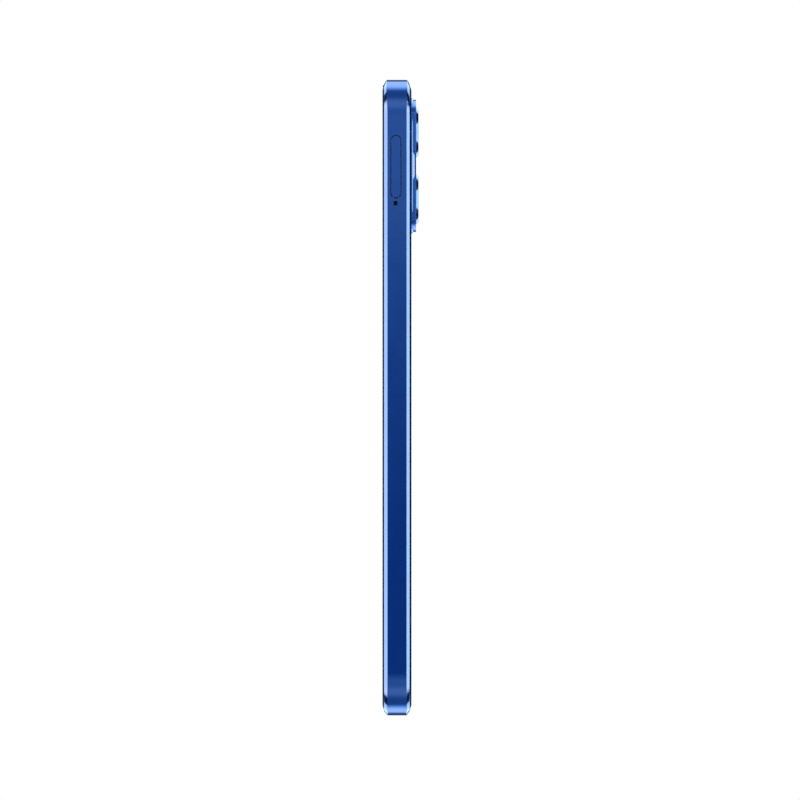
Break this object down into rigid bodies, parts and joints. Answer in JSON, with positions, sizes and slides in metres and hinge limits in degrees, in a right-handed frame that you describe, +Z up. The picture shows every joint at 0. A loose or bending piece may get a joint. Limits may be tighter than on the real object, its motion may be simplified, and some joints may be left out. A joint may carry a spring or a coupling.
{
  "type": "smartphone",
  "caption": "Slim slab smartphone with a raised twin-ring camera plate, bevelled metallic side frame, side card tray, side keys, and an internal assembly with battery, boards and cameras.",
  "frame": {"origin": "centre of the charging socket's mouth, in the plane of the bottom edge", "axes": "+Z up the length of the phone, +X from the screen towards the back cover and camera bump, +Y towards the long side with the keys"},
  "size_m": [0.0092, 0.075, 0.1634],
  "materials": {
    "blue_lacquer": "metallic blue lacquer, polished, bright cut bevels",
    "blue_back": "deep blue gloss over a brushed metallic film",
    "blue_camera": "blue backed glass, polished edge",
    "blue_ring": "blue anodised, turned and polished",
    "screen_glass": "black bordered cover glass, mirror smooth",
    "display": "unlit panel, dark and even",
    "lens_glass": "coated dark lens glass",
    "flash_window": "milky ribbed diffuser",
    "phosphor": "yellow phosphor on a white carrier",
    "camera_black": "fine matt black",
    "black_plastic": "moulded, lightly textured",
    "plate_metal": "cast and milled, satin",
    "steel": "stamped, lightly brushed",
    "screw_steel": "turned, dark plated",
    "brass_weight": "sintered, satin",
    "diaphragm": "thin amber film with a stiff dome",
    "board": "green solder mask over copper tracks",
    "chip_black": "moulded epoxy",
    "connector": "moulded, with gilt contacts",
    "flex": "amber film with copper tracks",
    "foam_tape": "thin black foam tape",
    "pull_tape": "milky stretch tape",
    "thermal": "grey thermal putty",
    "seal_rubber": "smooth black silicone",
    "battery_foil": "black wrapped foil pouch",
    "mesh": "fine black woven mesh"
  },
  "bodies": {
    "handset": {"side_frame": "blue_lacquer", "midframe_plate": "plate_metal", "front_glass": "screen_glass", "glass_adhesive": "foam_tape", "display_panel": "display", "display_flex": "flex", "back_cover": "blue_back", "cover_adhesive": "foam_tape", "camera_plate": "blue_camera", "upper_lens_ring": "blue_ring", "lower_lens_ring": "blue_ring", "upper_lens_glass": "lens_glass", "lower_lens_glass": "lens_glass", "macro_lens_glass": "lens_glass", "flash_lens": "flash_window", "flash_led": "phosphor", "main_camera_housing": "camera_black", "ultrawide_camera": "camera_black", "macro_camera": "camera_black", "camera_bracket": "steel", "front_camera": "camera_black", "earpiece_receiver": "steel", "earpiece_mesh": "mesh", "light_sensor": "chip_black", "main_board": "board", "board_chips": "chip_black", "shield_cans": "steel", "board_connectors": "connector", "case_screws": "screw_steel", "thermal_pad": "thermal", "board_cover": "black_plastic", "top_microphone": "steel", "sim_reader": "steel", "lever_pin": "screw_steel", "sub_board": "board", "usb_shell": "steel", "usb_tongue": "black_plastic", "usb_gasket": "seal_rubber", "bottom_microphone": "steel", "speaker_box": "black_plastic", "speaker_cover": "black_plastic", "speaker_magnet": "screw_steel", "speaker_mesh": "mesh", "vibration_motor_can": "steel", "vibration_motor_base": "screw_steel", "battery": "battery_foil", "battery_adhesive": "pull_tape", "battery_flex": "flex", "main_flex": "flex", "side_key_set": "flex"},
    "tray": {"sim_tray": "blue_lacquer", "tray_gasket": "seal_rubber"},
    "rod": {"eject_rod": "black_plastic"},
    "lever": {"eject_lever": "steel"},
    "lens": {"main_camera_lens": "camera_black"},
    "power_button": {"power_key": "blue_lacquer"},
    "volume_button": {"volume_rocker": "blue_lacquer"},
    "motor_weight": {"vibration_weight": "brass_weight"},
    "loudspeaker_cone": {"speaker_diaphragm": "diaphragm"},
    "earpiece_cone": {"earpiece_diaphragm": "diaphragm"}
  },
  "joints": [
    {"name": "tray_slide", "type": "slide", "parent": "handset", "child": "tray", "axis": [0, -1, 0], "range_m": [0, 0.024]},
    {"name": "rod_slide", "type": "slide", "parent": "handset", "child": "rod", "axis": [0, 1, 0], "range_m": [0, 0.0009]},
    {"name": "lever_turn", "type": "hinge", "parent": "handset", "child": "lever", "pos_m": [-0.0004, -0.0126, 0.1365], "axis": [1, 0, 0], "range_deg": [0, 12]},
    {"name": "lens_focus", "type": "slide", "parent": "handset", "child": "lens", "axis": [1, 0, 0], "range_m": [0, 0.0003], "stiffness_N_per_m": 60},
    {"name": "power_press", "type": "slide", "parent": "handset", "child": "power_button", "axis": [0, -1, 0], "range_m": [0, 0.00025], "stiffness_N_per_m": 100},
    {"name": "volume_rock", "type": "hinge", "parent": "handset", "child": "volume_button", "pos_m": [0, 0.03507, 0.119], "axis": [1, 0, 0], "range_deg": [-1, 1], "stiffness_Nm_per_rad": 0.005},
    {"name": "motor_spin", "type": "hinge", "parent": "handset", "child": "motor_weight", "pos_m": [-0.0005, 0.024, 0.0135], "axis": [1, 0, 0], "continuous": true},
    {"name": "loudspeaker_stroke", "type": "slide", "parent": "handset", "child": "loudspeaker_cone", "axis": [1, 0, 0], "range_m": [-0.00025, 0.00025], "stiffness_N_per_m": 50},
    {"name": "earpiece_stroke", "type": "slide", "parent": "handset", "child": "earpiece_cone", "axis": [1, 0, 0], "range_m": [-0.00012, 0.00012], "stiffness_N_per_m": 20}
  ],
  "couplings": [
    {"joint": "lever_turn", "follows": "rod_slide", "rad_per_m": 232.7}
  ]
}
